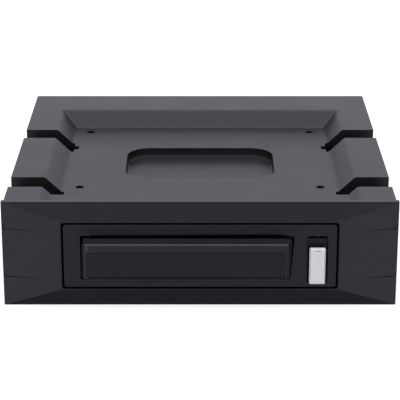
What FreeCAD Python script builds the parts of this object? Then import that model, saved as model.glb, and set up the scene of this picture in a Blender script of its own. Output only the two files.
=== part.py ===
import FreeCAD
import Part
import Sketcher

import os
import re

from FreeCAD import Placement, Rotation, Vector

# Enclosure for a half-height 5.25 inch bay with a pull-out caddy for a 2.5 inch drive.
# X runs to the right, Y to the back and Z up. Y is zero at the back of the bezel, Z at the underside.

SIZES = [
    ("house_w", 146.1, "width of the housing"),
    ("house_l", 139.6, "depth of the housing behind the bezel"),
    ("house_h", 41.3, "height of the housing at the rims"),
    ("wall", 1.8, "moulded wall"),
    ("base_t", 2.0, "thickness of the base"),
    ("rim_w", 13.1, "width of a side rim on top"),
    ("back_rim", 22.8, "depth of the back rim on top"),
    ("recess_d", 6.1, "depth of the top recess"),
    ("slope_run", 6.4, "run of the recess slopes"),
    ("rim_r", 2.0, "round of the rims' inner edges"),
    ("floor_r", 2.4, "round of the recess floor and corners"),
    ("strip_l", 15.0, "depth of the raised strip behind the bezel"),
    ("strip_d", 3.2, "drop from the rims to the strip"),
    ("notch_l", 11.3, "length of a rim notch"),
    ("notch_d", 7.0, "depth of a rim notch"),
    ("notch_in", 20.5, "reach of a rim notch from the side"),
    ("rear_notch_y", 76.8, "front edge of the rear notches"),
    ("slot_in", 4.0, "length of the slot through the floor of a rear notch"),
    ("tail_l", 4.2, "length of the tail at a rear notch"),
    ("tail_w", 1.8, "reach of the tail into the recess floor"),
    ("hole_in", 6.5, "distance of the top holes from the side slopes"),
    ("hole_back", 5.9, "distance of the rear top holes from the back slope"),
    ("hole_y", 32.2, "distance of the front top holes from the bezel"),
    ("hole_r", 1.7, "radius of a top hole"),
    ("pocket_w", 60.0, "width of the top pocket"),
    ("pocket_l", 39.0, "length of the top pocket"),
    ("pocket_y", 43.0, "front edge of the top pocket"),
    ("pocket_d", 4.0, "depth of the top pocket below the recess floor"),
    ("pocket_r", 9.5, "corner radius of the top pocket"),
    ("pocket_floor_r", 1.4, "round of the pocket floor"),
    ("boss_r", 3.5, "radius of a screw boss"),
    ("boss_in", 8.5, "distance of a screw boss from the side"),
    ("boss_end", 8.0, "distance of a screw boss from the front"),
    ("boss_rear", 23.6, "distance of a rear screw boss from the back"),
    ("bay_hole_y", 47.4, "first bay hole behind the bezel"),
    ("bay_hole_rear", 12.95, "distance of the last bay hole from the back"),
    ("bay_hole_z", 10.0, "height of the lower bay holes"),
    ("bay_hole_dz", 11.84, "spacing of the bay holes in height"),
    ("bay_hole_r", 1.25, "core radius of a bay hole"),
    ("bay_pad_t", 3.7, "thickness of the pad behind a pair of bay holes"),
    ("bay_pad_w", 10.0, "width of the pad behind a pair of bay holes"),
    ("bezel_side", 0.95, "overhang of the bezel at each side"),
    ("lip_t", 2.0, "thickness of the bezel lip"),
    ("facet_d", 3.0, "rise of the bezel facets"),
    ("land", 0.4, "flat edge round the opening"),
    ("cheek_w", 21.35, "distance of the opening from the housing's side"),
    ("open_z", 7.65, "height of the opening's lower edge"),
    ("ceiling_gap", 0.15, "clearance between the caddy front and the shell above it"),
    ("open_r", 1.2, "corner radius of the opening"),
    ("groove_z", 11.5, "height of the lower grooves"),
    ("groove_dz", 19.0, "spacing of the grooves in a side facet"),
    ("groove_in", 0.6, "distance of a groove from the bezel's side"),
    ("groove_l", 18.2, "distance of a groove's inner end from the bezel's side"),
    ("groove_h", 1.9, "height of a groove"),
    ("groove_d", 0.35, "depth of a groove"),
    ("snap_l", 9.0, "length of a snap arm"),
    ("snap_t", 1.5, "thickness of a snap arm"),
    ("snap_h", 8.0, "height of a snap arm"),
    ("snap_tip", 2.8, "length of a snap hook"),
    ("panel_gap", 0.8, "gap between the caddy front and the opening"),
    ("panel_set", 0.2, "set-back of the caddy front from the bezel's land"),
    ("panel_l", 10.8, "depth of the caddy front"),
    ("handle_in", 6.1, "distance of the handle from the caddy front's left edge"),
    ("latch_gap", 10.3, "distance of the handle's end from the middle of the latch"),
    ("handle_lift", 3.35, "height of the handle above the caddy front's lower edge"),
    ("handle_out", 1.5, "stand-off of the handle from the caddy front"),
    ("knuckle_r", 3.2, "radius of the handle's hinge end, half its thickness"),
    ("handle_edge", 0.5, "chamfer of the handle's long edges"),
    ("handle_end_edge", 1.0, "chamfer of the handle's end"),
    ("handle_wall", 2.2, "wall of the hollow handle"),
    ("finger_h", 2.8, "height of the finger gap above the handle"),
    ("brow_h", 4.45, "height of the caddy front above the finger gap"),
    ("well_r", 0.9, "corner radius of the finger gap"),
    ("finger_end", 1.8, "width of the finger gap at the handle's end"),
    ("pin_r", 1.0, "radius of the hinge pin"),
    ("pin_seat", 1.5, "depth of a hinge pin seat"),
    ("run", 0.35, "clearance between moving pieces"),
    ("fit", 0.05, "clearance of a pin or a screw in its hole"),
    ("inlay_x", 2.2, "distance of the inlay from the handle's left end"),
    ("inlay_out", 1.7, "distance of the inlay from the handle's right end"),
    ("inlay_z", 0.7, "distance of the inlay from the handle's lower edge"),
    ("inlay_top", 3.35, "distance of the inlay from the handle's upper edge"),
    ("inlay_r", 0.8, "corner radius of the inlay's seat"),
    ("inlay_t", 0.6, "thickness of the inlay"),
    ("inlay_set", 0.2, "set-back of the inlay"),
    ("inlay_gap", 0.25, "gap round the inlay"),
    ("latch_in", 7.1, "distance of the latch from the caddy front's right edge"),
    ("slot_w", 7.8, "width of the latch slot"),
    ("slot_r", 1.2, "corner radius of the latch slot"),
    ("slot_lift", 1.1, "distance of the latch slot from the caddy front's lower edge"),
    ("slot_drop", 4.5, "distance of the latch slot from the caddy front's upper edge"),
    ("cap_w", 6.0, "width of the latch cap"),
    ("cap_t", 1.6, "thickness of the latch cap"),
    ("stem_in", 0.5, "set-back of the slider's stem from the cap's edge"),
    ("cap_out", 1.5, "stand-off of the latch cap"),
    ("cap_edge", 0.6, "chamfer of the latch cap"),
    ("nick_w", 2.1, "width of the nail nick in the latch cap"),
    ("nick_h", 0.5, "height of the nail nick"),
    ("nick_d", 0.35, "depth of the nail nick"),
    ("latch_run", 4.1, "travel of the latch"),
    ("slide_w", 10.0, "width of the latch slider"),
    ("slide_t", 2.0, "thickness of the latch slider"),
    ("ledge_w", 4.4, "width of the spring ledge"),
    ("ledge_h", 3.0, "height of the spring ledge"),
    ("coil_r", 1.2, "mean radius of the latch spring"),
    ("wire_r", 0.22, "wire radius of the latch spring"),
    ("coil_turns", 5.0, "turns of the latch spring"),
    ("leaf_t", 0.5, "thickness of the catch leaf"),
    ("leaf_h", 3.0, "height of the catch leaf"),
    ("leaf_bite", 1.2, "reach of the catch leaf into the handle"),
    ("keep_t", 1.5, "thickness of the latch retainer"),
    ("keep_lap", 1.4, "seat of the latch retainer"),
    ("tray_t", 2.0, "thickness of the tray floor"),
    ("tray_lift", 1.35, "height of the tray floor above the opening's lower edge"),
    ("tray_in", 0.9, "set-back of the tray floor from the caddy front's side"),
    ("rear_space", 26.1, "space behind the tray for the backplane and the plugs"),
    ("drive_w", 69.85, "width of the drive"),
    ("drive_gap", 0.5, "clearance at each side of the drive"),
    ("tray_wall_h", 11.0, "height of the tray walls"),
    ("flange_t", 1.6, "thickness of the tray's front flange"),
    ("flange_in", 2.9, "set-back of the tray's front flange from the caddy front's side"),
    ("drive_hole_dx", 61.72, "spacing of the drive holes across"),
    ("drive_hole_dy", 76.6, "spacing of the drive holes along"),
    ("drive_hole_r", 1.6, "radius of a drive hole"),
    ("drive_hole_end", 14.0, "distance of the drive holes from the drive's connector end"),
    ("lip_in", 4.9, "reach of the runner lips over the tray floor"),
    ("lip_h", 2.2, "thickness of the runner lips"),
    ("runner_t", 3.0, "thickness of the runner web"),
    ("foot_w", 5.6, "width of the runner foot"),
    ("foot_t", 2.0, "thickness of the runner foot"),
    ("board_t", 1.6, "thickness of the backplane board"),
    ("board_h", 24.0, "height of the backplane board"),
    ("board_lift", 2.0, "height of the backplane board above the base"),
    ("post_w", 7.4, "width of a board post"),
    ("post_l", 6.7, "depth of a board post"),
    ("post_h", 22.0, "height of a board post"),
    ("socket_w", 42.8, "width of the drive connector"),
    ("socket_h", 5.8, "height of the drive connector"),
    ("socket_l", 8.7, "depth of the drive connector"),
    ("socket_in", 1.2, "reach of the drive connector over the tray's end"),
    ("socket_gap", 0.6, "height of the drive connector above the tray floor"),
    ("socket_end", 2.0, "wall at an end of the drive connector"),
    ("socket_rib", 2.2, "rib between the slots of the drive connector"),
    ("chip_w", 9.0, "width of the controller chip"),
    ("chip_t", 1.2, "thickness of the controller chip"),
    ("chip_x", 5.0, "distance of the controller chip from the drive connector"),
    ("chip_z", 8.0, "height of the controller chip above the board's lower edge"),
    ("can_x", 16.0, "distance of the first capacitor from the board's end"),
    ("can_step", 8.0, "spacing of the capacitors"),
    ("data_w", 15.0, "width of the data plug"),
    ("power_w", 25.0, "width of the power plug"),
    ("plug_h", 6.4, "height of a plug"),
    ("plug_wall", 0.9, "wall of a plug"),
    ("plug_deep", 8.0, "depth of a plug's mouth"),
    ("tongue_t", 1.3, "thickness of a plug's tongue"),
    ("plug_gap", 4.0, "gap between the plugs"),
    ("rear_t", 2.0, "thickness of the rear panel"),
    ("seat_gap", 0.15, "assembly gap round the rear panel and the plugs"),
    ("lug_w", 7.5, "width of a rear lug"),
    ("lug_l", 8.0, "depth of a rear lug"),
    ("lug_h", 9.0, "height of a rear lug"),
    ("vent_w", 3.0, "width of a vent slot"),
    ("vent_step", 7.0, "spacing of the vent slots"),
    ("vent_l", 26.0, "length of a base vent slot"),
    ("rear_vent_l", 9.0, "length of a rear vent slot"),
    ("screw_r", 1.45, "radius of a screw shank"),
    ("screw_l", 8.0, "length of a screw shank"),
    ("head_r", 2.6, "radius of a screw head"),
    ("head_h", 1.5, "height of a screw head"),
]

DERIVED = {
    "side_x": "house_w / 2",
    "in_x": "house_w / 2 - wall",
    "roof_z": "house_h - wall",
    "rim_x": "side_x - rim_w",
    "floor_x": "rim_x - slope_run",
    "floor_z": "house_h - recess_d",
    "rim_y": "house_l - back_rim",
    "floor_y": "rim_y - slope_run",
    "hole_x": "floor_x - hole_in",
    "hole_dy": "floor_y - hole_back - hole_y",
    "bay_hole_dy": "house_l - bay_hole_rear - bay_hole_y",
    "notch_x": "side_x - notch_in",
    "notch_z": "house_h - notch_d",
    "tail_y": "rear_notch_y + (notch_l - tail_l) / 2",
    "boss_x": "side_x - boss_in",
    "boss_y": "house_l - boss_rear",
    "pocket_z": "floor_z - pocket_d",
    "bezel_w": "house_w + 2 * bezel_side",
    "bezel_h": "house_h",
    "open_w": "house_w - 2 * cheek_w",
    "face_y": "-(lip_t + facet_d)",
    "panel_top": "floor_z - wall - ceiling_gap",
    "open_top": "panel_top + panel_gap",
    "hollow_low": "open_z * 0.6",
    "hollow_top": "open_top + (bezel_h - open_top) * 0.4",
    "facet_y": "-lip_t - facet_d * groove_l / (bezel_w / 2 - open_w / 2 - land)",
    "snap_x": "in_x - run",
    "snap_z": "bezel_h / 2 - snap_h / 2",
    "panel_w": "open_w - 2 * panel_gap",
    "panel_x": "panel_w / 2",
    "panel_z": "open_z + panel_gap",
    "panel_h": "panel_top - panel_z",
    "panel_y": "face_y + panel_set",
    "back_y": "panel_y + panel_l",
    "handle_z": "panel_z + handle_lift",
    "handle_top": "well_top - finger_h",
    "inlay_high": "handle_top - inlay_top",
    "handle_x": "handle_in - panel_x",
    "latch_x": "panel_x - latch_in",
    "handle_end": "latch_x - latch_gap",
    "handle_l": "handle_end - handle_x",
    "handle_y": "panel_y - handle_out",
    "axis_x": "handle_x + knuckle_r",
    "axis_y": "handle_y + knuckle_r",
    "handle_back": "handle_y + 2 * knuckle_r",
    "well_y": "handle_back + run",
    "well_low": "handle_z - run",
    "well_top": "panel_top - brow_h",
    "well_end": "handle_end + run",
    "slot_z": "panel_z + slot_lift",
    "cap_z": "slot_z + run",
    "slot_top": "panel_top - slot_drop",
    "cap_top": "slot_top - latch_run - run",
    "cap_y": "panel_y - cap_out",
    "cap_back": "cap_y + cap_t",
    "slide_x": "latch_x - slide_w / 2",
    "slide_y": "panel_y + wall + run",
    "slide_back": "slide_y + slide_t",
    "cell_low": "panel_z + wall",
    "cell_top": "panel_top - wall",
    "cell_x": "slide_x - run",
    "cell_end": "slide_x + slide_w + run",
    "slide_z": "cell_low + run",
    "slide_top": "cell_top - latch_run - run",
    "ledge_back": "slide_back + 2 * coil_r + 2 * wire_r + run",
    "keep_y": "ledge_back + run",
    "ledge_z": "slide_z + ledge_h",
    "coil_y": "slide_back + coil_r + wire_r + run / 2",
    "leaf_y": "slide_y + (slide_t - leaf_t) / 2",
    "leaf_z": "(handle_z + handle_top) / 2 - leaf_h",
    "leaf_x": "handle_end - leaf_bite",
    "tray_z": "open_z + tray_lift",
    "tray_top": "tray_z + tray_t",
    "tray_x": "panel_x - tray_in",
    "flange_x": "panel_x - flange_in",
    "tray_end": "house_l - rear_space",
    "tray_l": "tray_end - back_y",
    "drive_x": "drive_w / 2 + drive_gap",
    "runner_x": "tray_x + run",
    "runner_y": "back_y + flange_t + run",
    "runner_end": "board_y - post_l - run",
    "lip_x": "runner_x - lip_in",
    "web_x": "runner_x + runner_t",
    "foot_x": "web_x + foot_w",
    "foot_top": "base_t + foot_t",
    "board_y": "tray_end + socket_l - socket_in",
    "board_back": "board_y + board_t",
    "board_z": "base_t + board_lift",
    "post_x": "runner_x + run",
    "board_x": "post_x + post_w",
    "socket_z": "tray_top + socket_gap",
    "plug_z": "tray_top",
    "rear_y": "house_l - rear_t",
    "data_x": "-(data_w + power_w + plug_gap) / 2",
    "power_x": "data_x + data_w + plug_gap",
    "drive_end": "board_y - socket_l",
    "tapped_r": "screw_r + fit",
}

doc = FreeCAD.newDocument("drive_enclosure")
sheet = doc.addObject("Spreadsheet::Sheet", "sizes")
for row, (alias, number, note) in enumerate(SIZES, start=1):
    sheet.set(f"A{row}", note)
    sheet.set(f"B{row}", str(number))
    sheet.setAlias(f"B{row}", alias)
doc.recompute()


def expand(text):
    """Spell an expression out in cells of the size sheet."""
    def word(match):
        name = match.group()
        if name in DERIVED:
            return "(" + expand(DERIVED[name]) + ")"
        return "sizes." + name
    return re.sub(r"[a-z][a-z0-9_]*", word, str(text))


def value(text):
    """Number that an expression has now."""
    return float(sheet.evalExpression(expand(text)))


def bind(obj, prop, text):
    obj.setExpression(prop, expand(text))


def new_body(label):
    body = doc.addObject("PartDesign::Body", label)
    body.Label = label
    return body


def origin_part(body, role):
    return [item for item in body.Origin.OriginFeatures if item.Role == role][0]


def place(obj, **limits):
    for axis, text in limits.items():
        bind(obj, "Placement.Base." + axis, text)


def box(body, kind, name, x, y, z):
    """Box between pairs of limits, added to a body or cut from it."""
    feature = body.newObject(f"PartDesign::{kind}Box", name)
    for prop, (low, high) in (("Length", x), ("Width", y), ("Height", z)):
        bind(feature, prop, f"({high}) - ({low})")
    place(feature, x=x[0], y=y[0], z=z[0])
    return feature


def add_box(body, name, x, y, z):
    return box(body, "Additive", name, x, y, z)


def cut_box(body, name, x, y, z):
    return box(body, "Subtractive", name, x, y, z)


def sided(side, limits):
    """Limits on the right side, or their mirror image on the left."""
    low, high = limits
    if side > 0:
        return (low, high)
    return (f"-({high})", f"-({low})")


TURNS = {
    "x": Rotation(Vector(0, 1, 0), 90),
    "y": Rotation(Vector(1, 0, 0), -90),
    "z": Rotation(),
}


def cylinder(body, kind, name, axis, radius, x, y, z):
    """Cylinder along an axis: that axis has a pair of limits, the others the centre."""
    feature = body.newObject(f"PartDesign::{kind}Cylinder", name)
    feature.Placement = Placement(Vector(), TURNS[axis])
    centre = {"x": x, "y": y, "z": z}
    low, high = centre[axis]
    centre[axis] = low
    bind(feature, "Radius", radius)
    bind(feature, "Height", f"({high}) - ({low})")
    place(feature, **centre)
    return feature


def add_rod(body, name, axis, radius, x, y, z):
    return cylinder(body, "Additive", name, axis, radius, x, y, z)


def bore(body, name, axis, radius, x, y, z):
    return cylinder(body, "Subtractive", name, axis, radius, x, y, z)


def wedge(body, kind, name, x, y, z, x2, z2):
    """Frustum along Y: the limits x, z at the first end and x2, z2 at the second."""
    feature = body.newObject(f"PartDesign::{kind}Wedge", name)
    for prop, (low, high) in (("X", x), ("Y", y), ("Z", z), ("X2", x2), ("Z2", z2)):
        bind(feature, prop + "min", low)
        bind(feature, prop + "max", high)
    return feature


def dish(body, kind, name, z, x, y, x2, y2):
    """Frustum along Z: the limits x, y at its floor and x2, y2 at its brim."""
    def turned(limits):
        return (f"-({limits[1]})", f"-({limits[0]})")
    feature = wedge(body, kind, name, x, z, turned(y), x2, turned(y2))
    feature.Placement = Placement(Vector(), Rotation(Vector(1, 0, 0), 90))
    return feature


def new_sketch(body, role, name, offset):
    """Sketch on an origin plane of its own body, moved along the plane's normal."""
    sketch = body.newObject("Sketcher::SketchObject", name)
    sketch.AttachmentSupport = [(origin_part(body, role), "")]
    sketch.MapMode = "FlatFace"
    bind(sketch, "AttachmentOffset.Base.z", offset)
    return sketch


def hold(sketch, kind, text, *place_of):
    """Dimension bound to an expression."""
    number = sketch.addConstraint(Sketcher.Constraint(kind, *place_of, value(text)))
    bind(sketch, f"Constraints[{number}]", text)


def polygon(sketch, corners):
    """Closed outline whose corners are dimensioned from the sketch origin."""
    points = [Vector(value(across), value(up), 0) for across, up in corners]
    count = len(points)
    for index in range(count):
        sketch.addGeometry(Part.LineSegment(points[index], points[(index + 1) % count]), False)
    for index in range(count):
        sketch.addConstraint(Sketcher.Constraint("Coincident", index, 2, (index + 1) % count, 1))
    for index, (across, up) in enumerate(corners):
        hold(sketch, "DistanceX", across, -1, 1, index, 1)
        hold(sketch, "DistanceY", up, -1, 1, index, 1)


def rounded(sketch, across, up, radius):
    """Rectangle with round corners between pairs of limits."""
    left, right = value(across[0]), value(across[1])
    low, high = value(up[0]), value(up[1])
    r = value(radius)
    sides = [
        (Vector(left + r, low, 0), Vector(right - r, low, 0)),
        (Vector(right, low + r, 0), Vector(right, high - r, 0)),
        (Vector(right - r, high, 0), Vector(left + r, high, 0)),
        (Vector(left, high - r, 0), Vector(left, low + r, 0)),
    ]
    centres = [(right - r, low + r), (right - r, high - r), (left + r, high - r), (left + r, low + r)]
    for start, end in sides:
        sketch.addGeometry(Part.LineSegment(start, end), False)
    quarter = 1.5707963267948966
    for index, (mid_x, mid_y) in enumerate(centres):
        ring = Part.Circle(Vector(mid_x, mid_y, 0), Vector(0, 0, 1), r)
        sketch.addGeometry(Part.ArcOfCircle(ring, (index - 1) * quarter, index * quarter), False)
    for index in range(4):
        sketch.addConstraint(Sketcher.Constraint("Tangent", index, 2, index + 4, 1))
        sketch.addConstraint(Sketcher.Constraint("Tangent", index + 4, 2, (index + 1) % 4, 1))
    for index in (0, 2):
        sketch.addConstraint(Sketcher.Constraint("Horizontal", index))
        sketch.addConstraint(Sketcher.Constraint("Vertical", index + 1))
    for index in (5, 6, 7):
        sketch.addConstraint(Sketcher.Constraint("Equal", 4, index))
    hold(sketch, "Radius", radius, 4)
    hold(sketch, "DistanceY", up[0], -1, 1, 0, 1)
    hold(sketch, "DistanceX", across[1], -1, 1, 1, 1)
    hold(sketch, "DistanceY", up[1], -1, 1, 2, 1)
    hold(sketch, "DistanceX", across[0], -1, 1, 3, 1)


def extrude(body, kind, name, sketch, length, reverse):
    """Pad or Pocket of a sketch."""
    feature = body.newObject("PartDesign::" + kind, name)
    feature.Profile = sketch
    feature.Reversed = reverse
    bind(feature, "Length", length)
    return feature


def along_edges(body, kind, name, size_prop, size, chosen):
    """Fillet or chamfer of the edges of the body that a test picks."""
    doc.recompute()
    base = body.Tip
    names = [f"Edge{n}" for n, edge in enumerate(base.Shape.Edges, start=1) if chosen(edge)]
    feature = body.newObject("PartDesign::" + kind, name)
    feature.Base = (base, names)
    bind(feature, size_prop, size)
    return feature


def row_of(body, name, source, role, step, count):
    """Copies of a feature in a row along an origin axis."""
    pattern = body.newObject("PartDesign::LinearPattern", name)
    pattern.Originals = [source]
    pattern.Direction = (origin_part(body, role), [""])
    pattern.Occurrences = count
    bind(pattern, "Length", f"({step}) * {count - 1}")
    body.Tip = pattern
    return pattern


def near(first, second):
    return abs(first - second) < 0.001


def edge_at(edge, **limits):
    """True for a straight edge that lies in the planes given by axis and position."""
    bounds = edge.BoundBox
    for axis, text in limits.items():
        low = getattr(bounds, axis.upper() + "Min")
        high = getattr(bounds, axis.upper() + "Max")
        if not near(low, value(text)) or not near(high, value(text)):
            return False
    return True


def screw(name, axis, sign, x, y, z, reach, flat):
    """Screw whose head seats at a point: a flat head sinks in, a pan head stands out."""
    spot = {"x": x, "y": y, "z": z}
    turn = TURNS[axis] if sign > 0 else TURNS[axis].multiply(Rotation(Vector(1, 0, 0), 180))
    if flat:
        head = doc.addObject("Part::Cone", name + "_head")
        bind(head, "Radius1", "head_r")
        bind(head, "Radius2", "screw_r")
        start = "0"
    else:
        head = doc.addObject("Part::Cylinder", name + "_head")
        bind(head, "Radius", "head_r")
        start = "-head_h"
    shank = doc.addObject("Part::Cylinder", name + "_shank")
    bind(head, "Height", "head_h")
    bind(shank, "Radius", "screw_r")
    bind(shank, "Height", reach)
    for item, shift in ((head, start), (shank, "0")):
        item.Placement = Placement(Vector(), turn)
        centre = dict(spot)
        centre[axis] = f"{spot[axis]} + ({sign}) * ({shift})"
        place(item, **centre)
    whole = doc.addObject("Part::MultiFuse", name)
    whole.Shapes = [head, shank]
    return whole


def screws(label, axis, sign, spots, reach, flat=False):
    """One node of alike screws."""
    group = doc.addObject("Part::Compound", label)
    group.Label = label
    group.Links = [
        screw(f"{label}_{n}", axis, sign, x, y, z, reach, flat) for n, (x, y, z) in enumerate(spots, start=1)
    ]
    return group


SIDES = (1, -1)


def top_shell():
    body = new_body("top_shell")
    add_box(body, "block", ("-side_x", "side_x"), ("0", "house_l"), ("base_t", "house_h"))
    cut_box(body, "hollow", ("-in_x", "in_x"), ("0", "house_l"), ("base_t", "roof_z"))
    dish(body, "Additive", "dish", ("floor_z - wall", "house_h"),
         ("-floor_x - wall", "floor_x + wall"), ("0", "floor_y + wall"),
         ("-rim_x - wall", "rim_x + wall"), ("0", "rim_y + wall"))
    for side in SIDES:
        for start in ("strip_l", "rear_notch_y"):
            add_box(body, "notch_wall", sided(side, ("notch_x - wall", "side_x")),
                    (f"{start} - wall", f"{start} + notch_l + wall"), ("notch_z - wall", "house_h"))
    dish(body, "Subtractive", "recess", ("floor_z", "house_h"),
         ("-floor_x", "floor_x"), ("-wall", "floor_y"), ("-rim_x", "rim_x"), ("-wall", "rim_y"))
    along_edges(body, "Fillet", "floor_rounds", "Radius", "floor_r", recess_low_edge)
    along_edges(body, "Fillet", "rim_rounds", "Radius", "rim_r", recess_rim_edge)
    add_box(body, "strip", ("-rim_x", "rim_x"), ("0", "strip_l"), ("floor_z - wall", "house_h - strip_d"))
    for side in SIDES:
        for start in ("strip_l", "rear_notch_y"):
            cut_box(body, "notch", sided(side, ("notch_x", "side_x + wall")),
                    (start, f"{start} + notch_l"), ("notch_z", "house_h + wall"))
        cut_box(body, "slot", sided(side, ("notch_x", "notch_x + slot_in")),
                ("rear_notch_y", "rear_notch_y + notch_l"), ("notch_z - 2 * wall", "notch_z"))
        cut_box(body, "tail", sided(side, ("notch_x - tail_w", "notch_x + slot_in")),
                ("tail_y", "tail_y + tail_l"), ("notch_z - 2 * wall", "house_h + wall"))
    tub = new_sketch(body, "XY_Plane", "tub_outline", "floor_z")
    rounded(tub, ("-pocket_w / 2 - wall", "pocket_w / 2 + wall"),
            ("pocket_y - wall", "pocket_y + pocket_l + wall"), "pocket_r + wall")
    extrude(body, "Pad", "tub", tub, "pocket_d + wall", True)
    well = new_sketch(body, "XY_Plane", "pocket_outline", "floor_z")
    rounded(well, ("-pocket_w / 2", "pocket_w / 2"), ("pocket_y", "pocket_y + pocket_l"), "pocket_r")
    extrude(body, "Pocket", "pocket", well, "pocket_d", False)
    along_edges(body, "Fillet", "pocket_rounds", "Radius", "pocket_floor_r",
                lambda edge: edge_at(edge, z="pocket_z"))
    for side in SIDES:
        for y in ("hole_y", "hole_y + hole_dy"):
            bore(body, "top_hole", "z", "hole_r", f"{side} * hole_x", y, ("floor_z - 2 * wall", "house_h"))
        for y in ("boss_end", "boss_y"):
            add_rod(body, "boss", "z", "boss_r", f"{side} * boss_x", y, ("base_t", "roof_z"))
            bore(body, "boss_core", "z", "tapped_r", f"{side} * boss_x", y,
                 ("base_t", "base_t + screw_l + wall"))
        for y in ("bay_hole_y", "bay_hole_y + bay_hole_dy"):
            add_box(body, "bay_pad", sided(side, ("in_x - bay_pad_t", "in_x")),
                    (f"{y} - bay_pad_w / 2", f"{y} + bay_pad_w / 2"),
                    ("bay_hole_z - bay_pad_w / 2", "bay_hole_z + bay_hole_dz + bay_pad_w / 2"))
            for z in ("bay_hole_z", "bay_hole_z + bay_hole_dz"):
                bore(body, "bay_hole", "x", "bay_hole_r",
                     sided(side, ("in_x - bay_pad_t - wall", "side_x + wall")), y, z)
        add_box(body, "rear_lug", sided(side, ("in_x - lug_w", "in_x")),
                ("rear_y - lug_l", "rear_y"), ("roof_z - lug_h", "roof_z"))
        bore(body, "lug_core", "y", "tapped_r", f"{side} * (in_x - lug_w / 2)",
             ("rear_y - lug_l", "rear_y"), "roof_z - lug_h / 2")
        cut_box(body, "snap_window", sided(side, ("in_x - wall", "side_x + wall")),
                ("snap_l - snap_tip - run", "snap_l + run"), ("snap_z - run", "snap_z + snap_h + run"))
    return body


def recess_low_edge(edge):
    """Edges round the recess floor and the two that climb its back corners."""
    low = any(edge_at(edge, x=x, z="floor_z") for x in ("floor_x", "-floor_x"))
    bounds = edge.BoundBox
    climbs = near(bounds.YMin, value("floor_y")) and near(bounds.YMax, value("rim_y"))
    return low or edge_at(edge, y="floor_y", z="floor_z") or climbs and bounds.ZLength > 1.0


def recess_rim_edge(edge):
    """Edges where the recess slopes and their back corners meet the rims."""
    bounds = edge.BoundBox
    inside = bounds.XMax <= value("rim_x") + 0.001 and bounds.XMin >= -value("rim_x") - 0.001
    ahead = 1.0 < bounds.YMax <= value("rim_y") + 0.001
    return edge_at(edge, z="house_h") and inside and ahead


def base():
    body = new_body("base")
    add_box(body, "plate", ("-side_x", "side_x"), ("0", "house_l"), ("0", "base_t"))
    for side in SIDES:
        add_box(body, "post", sided(side, ("post_x", "post_x + post_w")),
                ("board_y - post_l", "board_y"), ("base_t", "base_t + post_h"))
        for z in ("board_z + board_h / 4", "board_z + board_h * 3 / 4"):
            bore(body, "post_core", "y", "tapped_r", f"{side} * (post_x + post_w / 2)",
                 ("board_y - post_l", "board_y"), z)
        for x, y in base_screw_spots(side) + runner_screw_spots(side):
            bore(body, "shank_hole", "z", "screw_r + fit", x, y, ("0", "base_t"))
            sink = body.newObject("PartDesign::SubtractiveCone", "countersink")
            bind(sink, "Radius1", "head_r + fit")
            bind(sink, "Radius2", "screw_r + fit")
            bind(sink, "Height", "head_h")
            place(sink, x=x, y=y, z="0")
    vent = cut_box(body, "vent", ("-vent_l / 2", "vent_l / 2"), ("house_l / 4", "house_l / 4 + vent_w"),
                   ("0", "base_t"))
    row_of(body, "vents", vent, "Y_Axis", "vent_step", 8)
    return body


def base_screw_spots(side):
    return [(f"{side} * boss_x", y) for y in ("boss_end", "boss_y")]


def runner_screw_spots(side):
    return [(f"{side} * (web_x + foot_w / 2)", f"runner_y + (runner_end - runner_y) * {part} / 6")
            for part in (1, 5)]


def bezel():
    body = new_body("bezel")
    half, low, high = "bezel_w / 2", "open_z", "open_top"
    add_box(body, "lip", (f"-{half}", half), ("-lip_t", "0"), ("0", "bezel_h"))
    wedge(body, "Additive", "facets", ("-open_w / 2 - land", "open_w / 2 + land"), ("face_y", "-lip_t"),
          (f"{low} - land", f"{high} + land"), (f"-{half}", half), ("0", "bezel_h"))
    for side in SIDES:
        for lower_edge in ("groove_z", "groove_z + groove_dz"):
            groove(body, side, lower_edge)
    wedge(body, "Subtractive", "back_hollow", ("-open_w / 2 - 2 * wall", "open_w / 2 + 2 * wall"),
          ("face_y + wall * 1.2", "0"), ("hollow_low", "hollow_top"),
          (f"-{half} + wall", f"{half} - wall"), ("wall", "bezel_h - wall"))
    add_box(body, "jamb", ("-open_w / 2 - wall", "open_w / 2 + wall"), ("face_y + wall", "0"),
            (f"{low} - wall", f"{high} + wall"))
    for side in SIDES:
        add_box(body, "snap_root", sided(side, ("snap_x - snap_t", "bezel_w / 2 - wall / 2")),
                ("-lip_t", "0"), ("snap_z", "snap_z + snap_h"))
        add_box(body, "snap_arm", sided(side, ("snap_x - snap_t", "snap_x")), ("-lip_t", "snap_l"),
                ("snap_z", "snap_z + snap_h"))
        add_box(body, "snap_hook", sided(side, ("snap_x - snap_t", "side_x - run")),
                ("snap_l - snap_tip", "snap_l"), ("snap_z", "snap_z + snap_h"))
    hole = new_sketch(body, "XZ_Plane", "opening_outline", "wall - (face_y)")
    rounded(hole, ("-open_w / 2", "open_w / 2"), (low, high), "open_r")
    extrude(body, "Pocket", "opening", hole, "wall * 3 - (face_y)", False)
    return body


def groove(body, side, lower_edge):
    """Groove that is deepest at the bezel's side and runs out on the facet."""
    outer = f"{side} * (bezel_w / 2 - groove_in)"
    inner = f"{side} * (bezel_w / 2 - groove_l)"
    outline = new_sketch(body, "XY_Plane", "groove_outline", lower_edge)
    polygon(outline, [(outer, "face_y"), (outer, "groove_d - lip_t"), (inner, "facet_y"), (inner, "face_y")])
    extrude(body, "Pocket", "groove", outline, "groove_h", True)


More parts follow.
